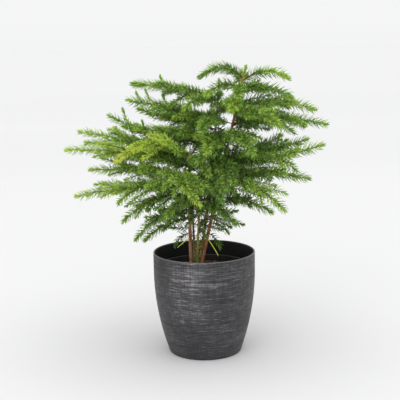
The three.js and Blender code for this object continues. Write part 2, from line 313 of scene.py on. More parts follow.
def twigs_of(row, number):
    """(curve, is one of the solid's own twigs) for every side twig of a frond."""
    axis = frond_curve(row)
    found = []
    steps = int(TWIG_PITCH / FINE_PITCH)
    for j in range(-steps, int(row["length"] / FINE_PITCH) + 1):
        for side in (-1, 1):
            k, rest = divmod(j, steps)
            along = FIRST_TWIG + TWIG_PITCH * (k + 0.2 * side) + FINE_PITCH * rest
            solid = rest == 0 and j >= 0 and FIRST_TWIG + k * TWIG_PITCH < row["length"] * TWIGGED
            if solid:
                curve = twig(row, axis, along, side, number * 97 + k * 2 + (side + 1) / 2)
            elif 6 < along < row["length"] * TWIGGED:
                seed = number * 57 + j * 2 + side + 5000
                curve = twig(row, axis, along, side, seed, 1.1, 0.55 + 0.4 * noise(seed + 0.71))
            else:
                continue
            if curve is not None:
                found.append((curve, solid))
    return found


def side_buds(row, axis, number):
    """Very short side twigs near the frond's outer end."""
    found = []
    for k, along in enumerate(np.arange(TWIGGED * row["length"] + 8, 0.9 * row["length"], BUD_PITCH)):
        seed = number * 31 + k + 900
        side = 1 if k % 2 else -1
        t = along / row["length"]
        forward = tangent(axis, t)[0]
        outward = unit(np.cross(UP, forward))
        first = twig_direction(forward, outward, side, BUD_ANGLE, 0.5 * noise(seed) - 0.5)
        found.append(arc(at(axis, t)[0], first, unit(first + forward * 0.4), 7 + 6 * noise(seed + 0.4)))
    return found


def upturned_shoots(name, axis):
    """Short shoots that stand up from a frond, at the places UPTURNED gives."""
    forward = tangent(axis, 0.7)[0]
    return [arc(at(axis, t)[0], unit(forward + UP * 0.7), unit(forward * 0.3 + UP), length)
            for t, length in UPTURNED.get(name, ())]


def samples(curve, start=0.0):
    """Evenly spread points on a curve, for telling how near two limbs come."""
    count = max(2, math.ceil(curve_length(curve) * (1 - start) / SAMPLE))
    return at(curve, np.linspace(start, 1, count + 1))


def shortened(curve, share):
    """The first share of a curve, as a curve."""
    return np.array([curve[0], curve[0] + (curve[1] - curve[0]) * share, at(curve, share)[0]])


def free_share(curve, others, clear):
    """How much of a curve stays clear of all other limbs' points."""
    points = samples(curve)
    gaps = ((points[:, None] - others[None]) ** 2).sum(2).min(1)
    blocked = np.flatnonzero(gaps < clear * clear)
    return 1.0 if len(blocked) == 0 else (blocked[0] - 1.5) / (len(points) - 1)


def grow():
    """Every frond's row, name, axis and twigs, with each twig cut short where another limb passes."""
    axes = [frond_curve(row) for row in FRONDS]
    placed = [[samples(a, 8 / row["length"])] for a, row in zip(axes, FRONDS)]
    trunks = np.concatenate([samples(stem_curve(s)) for s in STEMS.values()])
    grown, counts = [], {}
    for number, row in enumerate(FRONDS):
        others = np.concatenate([q for i, p in enumerate(placed) if i != number for q in p] + [trunks])
        kept = []
        for curve, solid in twigs_of(row, number):
            share = free_share(curve, others, CLEAR if solid else FINE_CLEAR)
            if share * curve_length(curve) >= TWIG_SHORTEST:
                curve = shortened(curve, share) if share < 1 else curve
                kept.append(curve)
                if solid:
                    placed[number].append(samples(curve))
        counts[row["stem"]] = counts.get(row["stem"], 0) + 1
        grown.append((row, f"{row['stem']}_frond_{counts[row['stem']]:02d}", axes[number], kept))
    return grown


# ---- Mesh building -------------------------------------------------------


class Mesher:
    """Gathers vertices, triangles and UVs, and makes them one mesh object."""

    def __init__(self):
        self.points, self.faces, self.uvs, self.count = [], [], [], 0

    def add(self, points, faces, uv=None):
        """uv is one pair for each corner of each face."""
        self.points.append(points)
        self.faces.append(faces + self.count)
        self.uvs.append(np.zeros((len(faces), 3, 2)) if uv is None else uv)
        self.count += len(points)

    def build(self, name, material, mapped=False):
        points = np.concatenate(self.points).astype(np.float32) * MM
        faces = np.concatenate(self.faces).astype(np.int32)
        mesh = bpy.data.meshes.new(name)
        mesh.vertices.add(len(points))
        mesh.vertices.foreach_set("co", points.ravel())
        mesh.loops.add(faces.size)
        mesh.loops.foreach_set("vertex_index", faces.ravel())
        mesh.polygons.add(len(faces))
        mesh.polygons.foreach_set("loop_start", np.arange(0, faces.size, 3, dtype=np.int32))
        mesh.polygons.foreach_set("use_smooth", np.ones(len(faces), bool))
        if mapped:
            uv = np.concatenate(self.uvs).astype(np.float32)
            layer = mesh.uv_layers.new(name="OFBake")
            layer.uv.foreach_set("vector", uv.reshape(-1, 2).ravel())
        mesh.update(calc_edges=True)
        mesh.validate()
        mesh.materials.append(material)
        piece = bpy.data.objects.new(name, mesh)
        bpy.context.scene.collection.objects.link(piece)
        return piece


CAP_INSET = 0.004         # how far the middle of a tube's cap lies inside the cap on the map


def frames_along(curve, t):
    """Tangent and two crosswise unit vectors at each t."""
    forward = tangent(curve, t)
    steep = np.abs(forward[:, 2:]) > 0.9
    reference = np.where(steep, np.array([0.0, 1.0, 0.0]), UP)
    across = unit(np.cross(reference, forward))
    return forward, across, np.cross(forward, across)


def tube_faces(rows, sides):
    """Faces of a closed tube whose points are its rings in order, then one end point for each cap.
    Also the row and the side of each cell between two rings."""
    row, side = [g.ravel() for g in np.meshgrid(np.arange(rows - 1), np.arange(sides), indexing="ij")]
    here, there = row * sides, (row + 1) * sides
    after = (side + 1) % sides
    j = np.arange(sides)
    n = (j + 1) % sides
    last_row, first_end, second_end = (rows - 1) * sides, rows * sides, rows * sides + 1
    faces = np.concatenate([
        np.stack([here + side, here + after, there + after], 1),
        np.stack([here + side, there + after, there + side], 1),
        np.stack([n, j, np.full(sides, first_end)], 1),
        np.stack([last_row + j, last_row + n, np.full(sides, second_end)], 1),
    ])
    return faces, row, side


def add_sleeve(mesher, rings, ends, v_range=(0, 1)):
    """A closed tube through rings of points, one row of `rings` to a ring, capped at two end points.
    On its map u runs round the tube, and v along it within v_range."""
    rows, sides = rings.shape[:2]
    faces, row, side = tube_faces(rows, sides)
    low, high = v_range

    def corner(around, level):
        return np.stack([around / sides, low + (high - low) * level / (rows - 1)], 1)

    def cap(level, inset):
        j = np.arange(sides)
        corners = ((j, level), (j + 1, level), (j + 0.5, level + inset))
        return np.stack([np.stack([around / sides, np.full(sides, v)], 1) for around, v in corners], 1)

    uv = np.concatenate([
        np.stack([corner(side, row), corner(side + 1, row), corner(side + 1, row + 1)], 1),
        np.stack([corner(side, row), corner(side + 1, row + 1), corner(side, row + 1)], 1),
        cap(low, CAP_INSET),
        cap(high, -CAP_INSET),
    ])
    mesher.add(np.concatenate([rings.reshape(-1, 3), ends]), faces, uv)


def ring_about(across, over, sides):
    """Unit circles in the planes of the crosswise vectors, one row to each pair."""
    turn = np.arange(sides) / sides * 2 * math.pi
    return np.cos(turn)[None, :, None] * across[:, None] + np.sin(turn)[None, :, None] * over[:, None]


def add_tube(mesher, curve, radii, sides, steps, v_range=(0, 1), start=0.0):
    """A tapered round limb along a curve."""
    t = np.linspace(start, 1, steps + 1)
    _, across, over = frames_along(curve, t)
    radius = np.linspace(radii[0], radii[1], steps + 1)[:, None, None]
    rings = at(curve, t)[:, None] + ring_about(across, over, sides) * radius
    add_sleeve(mesher, rings, at(curve, [start, 1]), v_range)


# A needle has a triangle at its base, one halfway and a point at its tip.
NEEDLE_FACES = np.array([
    [0, 1, 4], [0, 4, 3], [1, 2, 5], [1, 5, 4], [2, 0, 3], [2, 3, 5],
    [3, 4, 6], [4, 5, 6], [5, 3, 6], [0, 2, 1],
])
NEEDLE_U = np.array([0.03, 0.03, 0.03, 0.5, 0.5, 0.5, 0.97])
NEEDLE_V = np.array([-1, 1, 0, -1, 1, 0, 0]) * 0.006


def add_needles(mesher, base, forward, outward, length, open_angle, close_angle, width, tint):
    """Curved three-sided needles. All arguments but the mesher are arrays with one row per needle."""
    count = len(base)
    side = np.cross(forward, outward)

    def bend(angle):
        return forward * np.cos(angle)[:, None] + outward * np.sin(angle)[:, None]

    low, high = bend(open_angle), bend(close_angle)
    middle = base + low * (length * 0.5)[:, None]
    tip = middle + high * (length * 0.5)[:, None]
    back = np.cross(side, unit(low + high))
    w = width[:, None]
    points = np.stack([
        base - side * w * 0.5 - back * w * 0.2,
        base + side * w * 0.5 - back * w * 0.2,
        base + back * w * 0.4,
        middle - side * w * 0.5 - back * w * 0.25,
        middle + side * w * 0.5 - back * w * 0.25,
        middle + back * w * 0.45,
        tip,
    ], 1)
    faces = NEEDLE_FACES[None] + (np.arange(count) * len(NEEDLE_U))[:, None, None]
    uv = np.empty((count, len(NEEDLE_FACES), 3, 2))
    uv[..., 0] = NEEDLE_U[NEEDLE_FACES][None]
    uv[..., 1] = NEEDLE_V[NEEDLE_FACES][None] + np.clip(tint, 0.02, 0.975)[:, None, None]
    mesher.add(points.reshape(-1, 3), faces.reshape(-1, 3), uv.reshape(-1, 3, 2))


def outward_at(curve, t, phase):
    """Tangents at each t, and the crosswise unit vectors at the given phases round the limb."""
    forward, across, over = frames_along(curve, t)
    return forward, across * np.cos(phase)[:, None] + over * np.sin(phase)[:, None]


def clothe(mesher, rng, curve, radius, per_mm, length, tint, start=0.0, bud=1.0):
    """Covers a limb with a spiral of needles that ends in a bud. tint is one number, or one for each end."""
    whole = curve_length(curve)
    count = max(6, int(whole * (1 - start) * per_mm))
    t = start + (1 - start) * np.clip((np.arange(count) + rng.uniform(-0.4, 0.4, count)) / count, 0, 1)
    phase = np.arange(count) * GOLDEN + rng.uniform(0, 2 * math.pi) + rng.normal(0, 0.25, count)
    forward, outward = outward_at(curve, t, phase)
    near_tip = np.exp(-(1 - t) * whole / TIP_FADE)
    size = length * (1 - 0.5 * near_tip) * rng.uniform(0.8, 1.1, count)
    open_angle = np.radians(NEEDLE_OPEN - TIP_CLOSING * near_tip + rng.normal(0, 7, count))
    close_angle = open_angle - np.radians(NEEDLE_CURL - 4 * near_tip + rng.normal(0, 6, count))
    width = rng.uniform(1.15, 1.65, count)
    tints = np.interp(t, [0, 1], tint) if np.ndim(tint) else np.full(count, tint)
    shade = tints + rng.normal(0, 0.08, count)
    add_needles(mesher, at(curve, t) + outward * (radius * 0.6), forward, outward,
                size, open_angle, close_angle, width, shade)
    if bud:
        add_bud(mesher, rng, curve, whole, bud, tints[-1])


def add_bud(mesher, rng, curve, whole, bud, tint):
    """The closed tip: short needles that overlap and curve inward. bud is its size."""
    count = int(20 + 40 * (bud - 1))
    back_off = rng.uniform(0, 6 * bud ** 1.6, count)
    t = np.clip(1 - back_off / whole, 0, 1)
    forward, outward = outward_at(curve, t, np.arange(count) * GOLDEN)
    open_angle = np.radians(rng.uniform(14, 26, count) * bud)
    size = rng.uniform(5.2, 6.6, count) * bud ** 1.2
    shade = tint - 0.09 + rng.normal(0, 0.035, count)
    add_needles(mesher, at(curve, t) + outward * 0.4 - forward, forward, outward,
                size, open_angle, open_angle * -0.5, np.full(count, 1.5), shade)


# ---- Materials -----------------------------------------------------------


class Nodes:
    """Shorthand for a material's node tree."""

    def __init__(self, name):
        self.material = bpy.data.materials.new(name)
        self.material.use_nodes = True
        self.tree = self.material.node_tree
        self.shader = self.tree.nodes["Principled BSDF"]

    def join(self, value, socket):
        """Links a socket, or sets a plain value."""
        if isinstance(value, bpy.types.NodeSocket):
            self.tree.links.new(value, socket)
        else:
            socket.default_value = value

    def new(self, kind, values=None, **settings):
        node = self.tree.nodes.new(kind)
        for key, value in settings.items():
            setattr(node, key, value)
        for key, value in (values or {}).items():
            self.join(value, node.inputs[key])
        return node

    def math(self, operation, a, b):
        return self.new("ShaderNodeMath", {0: a, 1: b}, operation=operation).outputs[0]

    def add(self, *terms):
        """Sum of (socket, factor) pairs, each socket counted from its middle value of 0.5."""
        total = 0.5
        for socket, factor in terms:
            part = self.math("MULTIPLY", self.math("SUBTRACT", socket, 0.5), factor)
            total = self.math("ADD", part, total)
        return total

    def ramp(self, factor, stops):
        node = self.new("ShaderNodeValToRGB", {"Fac": factor})
        elements = node.color_ramp.elements
        while len(elements) < len(stops):
            elements.new(0.5)
        for element, (place, color) in zip(elements, stops):
            element.position = place
            element.color = (*color, 1)
        return node.outputs["Color"]

    def mix(self, factor, a, b, blend="MIX"):
        node = self.new("ShaderNodeMix", data_type="RGBA", blend_type=blend)
        self.join(factor, node.inputs[0])
        for value, socket in ((a, node.inputs[6]), (b, node.inputs[7])):
            self.join(value if isinstance(value, bpy.types.NodeSocket) else (*value, 1), socket)
        return node.outputs[2]

    def noise(self, vector, scale, detail=2.0, roughness=0.5):
        values = {"Vector": vector, "Scale": scale, "Detail": detail, "Roughness": roughness}
        return self.new("ShaderNodeTexNoise", values).outputs["Fac"]

    def place(self, scale=(1, 1, 1)):
        """The surface point in metres, each axis times its scale."""
        where = self.new("ShaderNodeTexCoord").outputs["Object"]
        return self.new("ShaderNodeMapping", {"Vector": where, "Scale": scale}).outputs["Vector"]

    def height(self):
        return self.new("ShaderNodeSeparateXYZ", {0: self.place()}).outputs["Z"]

    def from_axis(self):
        flat = self.place((1, 1, 0))
        return self.new("ShaderNodeVectorMath", {0: flat}, operation="LENGTH").outputs["Value"]

    def span(self, value, low, high):
        """0 up to low, 1 from high on, and in between in proportion. low may be the greater one."""
        return self.new("ShaderNodeMapRange", {"Value": value, "From Min": low, "From Max": high}).outputs[0]

    def spot(self, center, reach, core):
        """1 within core of a point, fading to 0 at reach, all in metres."""
        gap = self.new("ShaderNodeVectorMath", {0: self.place(), 1: center}, operation="DISTANCE")
        return self.span(gap.outputs["Value"], reach, core)

    def bump(self, height, strength, distance):
        node = self.new("ShaderNodeBump", {"Height": height, "Strength": strength, "Distance": distance})
        self.tree.links.new(node.outputs["Normal"], self.shader.inputs["Normal"])

    def finish(self, **values):
        for key, value in values.items():
            self.join(value, self.shader.inputs[key.replace("_", " ")])
        return self.material


def needle_material():
    """Colour by the needle map: across it the needle from base to tip, up it the needle's age and health."""
    n = Nodes("needle_foliage")
    uv = n.new("ShaderNodeUVMap", uv_map="OFBake").outputs["UV"]
    part = n.new("ShaderNodeSeparateXYZ", {0: uv})
    along, tint = part.outputs["X"], part.outputs["Y"]
    age = n.ramp(tint, [
        (0.00, (0.15, 0.06, 0.025)),
        (0.07, (0.20, 0.10, 0.04)),
        (0.14, (0.16, 0.17, 0.05)),
        (0.22, (0.073, 0.160, 0.036)),
        (0.42, (0.214, 0.386, 0.060)),
        (0.60, (0.415, 0.605, 0.084)),
        (0.78, (0.60, 0.70, 0.07)),
        (1.00, (0.76, 0.68, 0.10)),
    ])
    # painted shade: each needle darker towards its base
    lit = n.ramp(along, [(0.0, (0.75, 0.78, 0.8)), (0.45, (1, 1, 1)), (1.0, (1, 1, 1))])
    color = n.mix(1.0, age, lit, "MULTIPLY")
    return n.finish(Base_Color=color, Roughness=0.55, Specular_IOR_Level=0.2)


def bark_material(name, dark, light, mottle):
    n = Nodes(name)
    coarse = n.noise(n.place((1, 1, 0.35)), 330, 4, 0.62)
    rings = n.noise(n.place((1, 1, 4)), 150, 3, 0.6)
    patches = n.noise(n.place((1, 1, 0.6)), 60, 2, 0.5)
    middle = tuple((a + b) / 2 for a, b in zip(dark, light))
    color = n.ramp(coarse, [(0.32, dark), (0.5, middle), (0.68, light)])
    color = n.mix(n.math("MULTIPLY", rings, 0.4), color, dark)
    color = n.mix(n.math("MULTIPLY", n.span(patches, 0.5, 0.62), 0.6), color, mottle)
    n.bump(n.math("ADD", coarse, rings), 0.6, 0.0006)
    return n.finish(Base_Color=color, Roughness=0.8, Specular_IOR_Level=0.25)


# Places on the outer pot, in metres, of a painted highlight on its upper front and of painted shade on its
# left side.
HIGHLIGHT_SPOT = (-0.026, -0.078, 0.128)
SHADE_SPOT = (-0.083, -0.012, 0.150)


def pot_material():
    """Charcoal coat rubbed with silver grey: level strokes over fine upright ones, rubbed in patches, with a
    painted highlight on the upper front and painted shade on the left side.
    """
    n = Nodes("rubbed_charcoal")
    level_long = n.noise(n.place((1, 1, 30)), 17, 5, 0.65)
    level_fine = n.noise(n.place((1, 1, 12)), 82, 4, 0.65)
    upright = n.noise(n.place((1, 1, 0.05)), 420, 3, 0.6)
    upright_wide = n.noise(n.place((1, 1, 0.16)), 110, 3, 0.6)
    patches = n.noise(n.place((1, 1, 1.4)), 17, 3, 0.6)
    # painted highlight on the upper front and painted shade on the left side, both added to the coat's
    # strokes below
    painted_highlight = n.spot(HIGHLIGHT_SPOT, 0.052, 0.010)
    painted_shade = n.spot(SHADE_SPOT, 0.065, 0.015)
    weave_and_painted_light = n.add(
        (level_long, 0.8), (level_fine, 1.0), (upright, 0.3), (upright_wide, 0.14), (patches, 0.3),
        (n.math("ADD", painted_highlight, 0.5), 0.15), (n.math("SUBTRACT", 0.5, painted_shade), 0.24),
    )
    color = n.ramp(weave_and_painted_light, [
        (0.30, (0.0135, 0.0128, 0.0140)),
        (0.42, (0.0240, 0.0229, 0.0247)),
        (0.54, (0.0425, 0.0405, 0.0435)),
        (0.66, (0.0860, 0.0822, 0.0880)),
        (0.80, (0.27, 0.262, 0.275)),
    ])
    # Plainer and darker towards the foot, almost black above the soil inside, and a painted highlight along
    # the lip.
    height = n.height()
    color = n.mix(n.math("MULTIPLY", n.span(height, 0.13, 0.0), 0.42), color, (0.030, 0.030, 0.034))
    inside = n.span(n.from_axis(), (POT_RADIUS - 0.9) * MM, (POT_RADIUS - 1.7) * MM)
    inner = n.math("MULTIPLY", inside, n.span(height, SOIL_Z * MM, (SOIL_Z + 2) * MM))
    color = n.mix(inner, color, (0.0075, 0.0075, 0.008))
    # painted highlight along the lip
    lip = n.span(height, (POT_HEIGHT - 1.4) * MM, (POT_HEIGHT - 0.6) * MM)
    color = n.mix(lip, color, (0.13, 0.126, 0.132))
    rough = n.add((weave_and_painted_light, -0.3))
    n.bump(weave_and_painted_light, 0.3, 0.0006)
    return n.finish(Base_Color=color, Roughness=rough, Specular_IOR_Level=0.4)


def black_plastic():
    """The nursery pot's moulded black, with a painted highlight along its top edge."""
    n = Nodes("black_moulded_plastic")
    grain = n.noise(n.place(), 900, 3)
    rings = n.noise(n.place((1, 1, 9)), 60, 3)
    color = n.ramp(n.add((grain, 1), (rings, 0.8)), [
        (0.3, (0.006, 0.006, 0.0065)),
        (0.7, (0.02, 0.02, 0.021)),
    ])
    # painted highlight along the nursery pot's top edge
    rim_highlight = n.span(n.height(), (NURSERY_RIM_Z - 1.5) * MM, (NURSERY_RIM_Z - 0.4) * MM)
    color = n.mix(rim_highlight, color, (0.11, 0.11, 0.11))
    n.bump(grain, 0.15, 0.0003)
    return n.finish(Base_Color=color, Roughness=0.42)


def soil_material():
    n = Nodes("peat_and_bark_soil")
    grains = n.noise(n.place(), 520, 6, 0.7)
    clods = n.noise(n.place(), 110, 3)
    color = n.ramp(n.add((grains, 1), (clods, 0.6)), [
        (0.28, (0.008, 0.006, 0.004)),
        (0.46, (0.022, 0.014, 0.009)),
        (0.62, (0.060, 0.034, 0.020)),
        (0.80, (0.17, 0.10, 0.06)),
    ])
    n.bump(n.math("ADD", grains, clods), 0.9, 0.0015)
    return n.finish(Base_Color=color, Roughness=0.95, Specular_IOR_Level=0.15)


def litter_material():
    n = Nodes("bark_chips_and_litter")
    patches = n.noise(n.place(), 95, 2)
    grain = n.noise(n.place(), 700, 3)
    color = n.ramp(n.add((patches, 1.6), (grain, 0.6)), [
        (0.2, (0.035, 0.016, 0.009)),
        (0.45, (0.11, 0.05, 0.025)),
        (0.62, (0.26, 0.13, 0.065)),
        (0.82, (0.42, 0.27, 0.15)),
    ])
    n.bump(grain, 0.6, 0.0006)
    return n.finish(Base_Color=color, Roughness=0.85, Specular_IOR_Level=0.2)


# Distance from the pot in metres, and how light the floor is there: painted shade makes it darker near the
# pot.
FLOOR_PAINTED_SHADE = [(0.25, 0.62), (1.0, 0.68), (2.0, 0.77), (4.0, 0.92), (8.0, 0.98)]
FLOOR_RAMP_LENGTH = 10


def floor_material():
    """Plain pale paper, with painted shade that makes it darker near the pot and lighter with distance."""
    n = Nodes("pale_floor")
    far = n.math("MULTIPLY", n.from_axis(), 1 / FLOOR_RAMP_LENGTH)
    color = n.ramp(far, [(reach / FLOOR_RAMP_LENGTH, (tone, tone, tone)) for reach, tone in FLOOR_PAINTED_SHADE])
    return n.finish(Base_Color=color, Roughness=0.8, Specular_IOR_Level=0.0)


# ---- Pots and soil -------------------------------------------------------


def pot_radius(z):
    """The outer pot's radius at a height."""
    return POT_RADIUS - max(0.0, POT_ARC_START - z) ** 2 / POT_ARC_FACTOR


def rounded(center, radius, start, end, steps):
    """Points on a circular arc, its angles in degrees."""
    return [
        (center[0] + radius * math.cos(a), center[1] + radius * math.sin(a))
        for a in np.radians(np.linspace(start, end, steps))
    ]


def pot_profile():
    """Radius and height pairs, from the middle of the underside round to the middle of the floor."""
    lip = POT_WALL / 2
    profile = [(0, 0), (20, 0), (40, 0), (FOOT_RADIUS - 1, 0), (FOOT_RADIUS, 0.05)]
    profile += rounded((FOOT_RADIUS, FOOT_ROUNDING), FOOT_ROUNDING - 0.05, -80, -22, 5)
    profile += [(pot_radius(z), z) for z in np.linspace(4, POT_ARC_START, 46)]
    profile += [(POT_RADIUS, z) for z in np.linspace(138, POT_HEIGHT - lip, 8)]
    profile += rounded((POT_RADIUS - lip, POT_HEIGHT - lip), lip, 20, 160, 8)
    profile += [(POT_RADIUS - POT_WALL, z) for z in np.linspace(POT_HEIGHT - lip, POT_ARC_START, 8)]
    profile += [(pot_radius(z) - POT_WALL, z) for z in np.linspace(130, 9, 30)]
    profile += [(FOOT_RADIUS - 2, 5), (FOOT_RADIUS - 5, POT_FLOOR), (30, POT_FLOOR), (0, POT_FLOOR)]
    return profile


def turned(mesher, profile, segments, shape=None):
    """Adds a solid of revolution about +Z. The profile's first and last points lie on the axis.
    shape, where given, moves the finished points."""
    inner = np.array(profile[1:-1], float)
    a = np.arange(segments) / segments * 2 * math.pi
    xy = inner[:, None, :1] * np.stack([np.cos(a), np.sin(a)], 1)
    z = np.broadcast_to(inner[:, None, 1:], (len(inner), segments, 1))
    ends = [[0, 0, profile[0][1]], [0, 0, profile[-1][1]]]
    points = np.concatenate([np.concatenate([xy, z], 2).reshape(-1, 3), ends])
    if shape is not None:
        points = shape(points)
    mesher.add(points, tube_faces(len(inner), segments)[0])


def lumps(x, y):
    """Smooth unevenness between about -1 and 1."""
    return (
        np.sin(x * 0.31 + 1.3) * np.sin(y * 0.27 + 0.4) * 0.45
        + np.sin(x * 0.83 + y * 0.35 + 2.1) * 0.25
        + np.sin(y * 1.07 - x * 0.52) * 0.2
        + np.sin(x * 1.9 + 0.7) * np.sin(y * 2.1 + 1.9) * 0.25
    )


def soil_height(x, y):
    """Height of the soil's surface, a little heaped up round the trunks."""
    r = np.hypot(x, y)
    heap = 1.6 * np.exp(-((x + 13) ** 2 + y ** 2) / 260)
    return SOIL_Z - 0.4 - 2.6 * np.clip((r - 44) / 27, 0, 1) ** 2 + heap + 0.9 * lumps(x, y)


def soil_bed():
    """The potting soil: a tapered plug with an uneven top."""
    mesher = Mesher()
    radii = np.concatenate([np.linspace(SOIL_RADIUS, 4, 44), [2]])
    profile = [(0, SOIL_BOTTOM), (24, SOIL_BOTTOM), (SOIL_FOOT_RADIUS, SOIL_BOTTOM)]
    profile += [(SOIL_RADIUS, SOIL_SHOULDER)]
    profile += [(r, SOIL_Z) for r in radii] + [(0, SOIL_Z)]

    def heave(points):
        top = points[:, 2] > SOIL_SHOULDER + 1
        points[top, 2] = soil_height(points[top, 0], points[top, 1])
        return points

    turned(mesher, profile, 160, heave)
    return mesher.build("potting_soil_bed", soil_material())


# A block from -1 to 1 each way, for the bark chips.
CHIP = np.array([[x, y, z] for z in (-1, 1) for y in (-1, 1) for x in (-1, 1)], float)
CHIP_FACES = np.array([
    [0, 2, 1], [1, 2, 3], [4, 5, 6], [5, 7, 6], [0, 1, 4], [1, 5, 4],
    [2, 6, 3], [3, 6, 7], [0, 4, 2], [2, 4, 6], [1, 3, 5], [3, 7, 5],
])


def add_chip(mesher, rng):
    """A crooked flake of bark that lies on the soil."""
    far = SOIL_RADIUS * math.sqrt(rng.uniform(0.002, 0.93))
    turn = rng.uniform(0, 2 * math.pi)
    x, y = far * math.cos(turn), far * math.sin(turn)
    size = np.array([rng.uniform(1.2, 4.2), rng.uniform(0.8, 2.4), rng.uniform(0.4, 1.1)])
    points = CHIP * size * rng.uniform(0.7, 1.0, (8, 3))
    spin, tilt = rng.uniform(0, 2 * math.pi), rng.normal(0, 0.35)
    pose = np.array(Matrix.Rotation(spin, 3, "Z") @ Matrix.Rotation(tilt, 3, "X"))
    lift = np.array([x, y, soil_height(x, y) + size[2] * 0.4])
    mesher.add(points @ pose.T + lift, CHIP_FACES)


def add_dry_bit(mesher, rng, spread, aside):
    """A bent brown shoot on the soil, somewhere within about spread of the trunks' foot."""
    x = -4 + rng.normal(0, spread * 0.45) + aside
    y = rng.normal(-2, spread * 0.4)
    if math.hypot(x, y) > LITTER_LIMIT:
        return
    turn = rng.uniform(0, 360)
    start = np.array([x, y, soil_height(x, y) + 0.8])
    length = rng.uniform(12, 30)
    curve = arc(start, direction(turn, 18), direction(turn + rng.uniform(50, 150), -14), length)
    curve[2][2] = soil_height(curve[2][0], curve[2][1]) + 1.0
    curve[1][2] = max(curve[1][2], soil_height(curve[1][0], curve[1][1]) + 1.6)
    add_tube(mesher, curve, (1.0, 0.5), 6, 10)


def soil_litter():
    """Bark chips, and the dry brown shoots that have dropped round the trunks."""
    rng = np.random.default_rng(LITTER_SEED)
    mesher = Mesher()
    for _ in range(CHIPS):
        add_chip(mesher, rng)
    for index in range(DRY_BITS):
        spread = LOOSE_SPREAD if index >= DRY_BITS / 2 else HEAP_SPREAD
        add_dry_bit(mesher, rng, spread, HEAP_ASIDE if index < HEAPED_ASIDE else 0)
    return mesher.build("soil_litter", litter_material())


# ---- Trunks --------------------------------------------------------------


ROOT_LENGTH = 31          # length of trunk below the soil's surface
ROOT_RINGS = 8
BARK_RINGS = 150
BARK_SIDES = 18


def trunk_bark(name, stem, rng, material):
    """Bark from the root end to the tip, ridged and a little swollen where fronds leave."""
    curve = stem_curve(stem)
    under = tangent(curve, 0)[0]
    t = np.linspace(0, 1, BARK_RINGS)
    depths = np.linspace(ROOT_LENGTH, 3, ROOT_RINGS)[:, None]
    centers = np.concatenate([curve[0] - under * depths, at(curve, t)])
    forward = np.concatenate([np.repeat(under[None], ROOT_RINGS, 0), tangent(curve, t)])
    across = unit(np.cross(np.array([0.0, 1.0, 0.0]), forward))
    foot_radius, tip_radius = stem["radius"]
    radius = np.concatenate([
        np.full(ROOT_RINGS, float(foot_radius)),
        np.linspace(foot_radius, tip_radius, BARK_RINGS),
    ])
    heights = [row["height"] for row in FRONDS if row["stem"] == name]
    swell = sum(np.exp(-((centers[:, 2] - h) / 3.5) ** 2) for h in heights)
    radius = radius * (1 + 0.12 * np.minimum(swell, 1.3))
    turn = np.arange(BARK_SIDES) / BARK_SIDES * 2 * math.pi
    ridges = 1 + 0.05 * np.sin(turn * 5 + 0.8) + 0.03 * np.sin(turn * 9)
    wobble = 1 + rng.normal(0, 0.028, (len(centers), BARK_SIDES))
    ring = ring_about(across, np.cross(forward, across), BARK_SIDES)
    rings = centers[:, None] + ring * (radius[:, None] * ridges[None] * wobble)[..., None]
    mesher = Mesher()
    add_sleeve(mesher, rings, np.array([centers[0], centers[-1] + forward[-1] * 0.8]))
    return mesher.build(f"{name}_trunk_bark", material)


def lower_part(curve, middle, end):
    """A curve that follows a trunk from its foot through one t to another."""
    return np.array([curve[0], at(curve, middle)[0], at(curve, end)[0]])


def trunk_needles(name, stem, rng):
    """Short needles on a trunk's young upper end and round the inner trunks' feet, and small shoots."""
    mesher = Mesher()
    curve = stem_curve(stem)
    foot_radius, tip_radius = stem["radius"]
    young = 1 - YOUNG_LENGTH / curve_length(curve)
    clothe(mesher, rng, curve, tip_radius, 1.3, 9, (0.42, 0.55), start=young)
    if name in ("centre", "middle", "back"):
        clothe(mesher, rng, lower_part(curve, 0.15, 0.36), foot_radius, 0.8, 9, (0.44, 0.36), bud=0)
        clothe(mesher, rng, lower_part(curve, 0.03, 0.07), foot_radius, 1.3, 9, (0.07, 0.10), bud=0)
    shoots = [row for row in SPRIGS if row["stem"] == name]
    bottom, top = INNER_SHOOTS[name]
    for index, height in enumerate(np.arange(bottom, top, INNER_PITCH)):
        turn = index * INNER_TURN + rng.normal(0, 12)
        length = rng.uniform(44, 74) * min(1, 0.45 + (stem["top"][2] - height) / 90)
        shoots.append(frond(name, height, turn, length, rng.uniform(-15, 40), rng.uniform(-50, 10)))
    for row in shoots:
        shoot = frond_curve(row)
        add_tube(mesher, shoot, (0.8, 0.4), 5, 6, TWIG_BARK)
        # painted shade: the inner shoots darker green than the fronds
        clothe(mesher, rng, shoot, 0.6, 1.1, 12, (0.20, 0.36), start=0.1)
    return mesher.build(f"{name}_trunk_needles", NEEDLES, mapped=True)


# ---- Fronds --------------------------------------------------------------


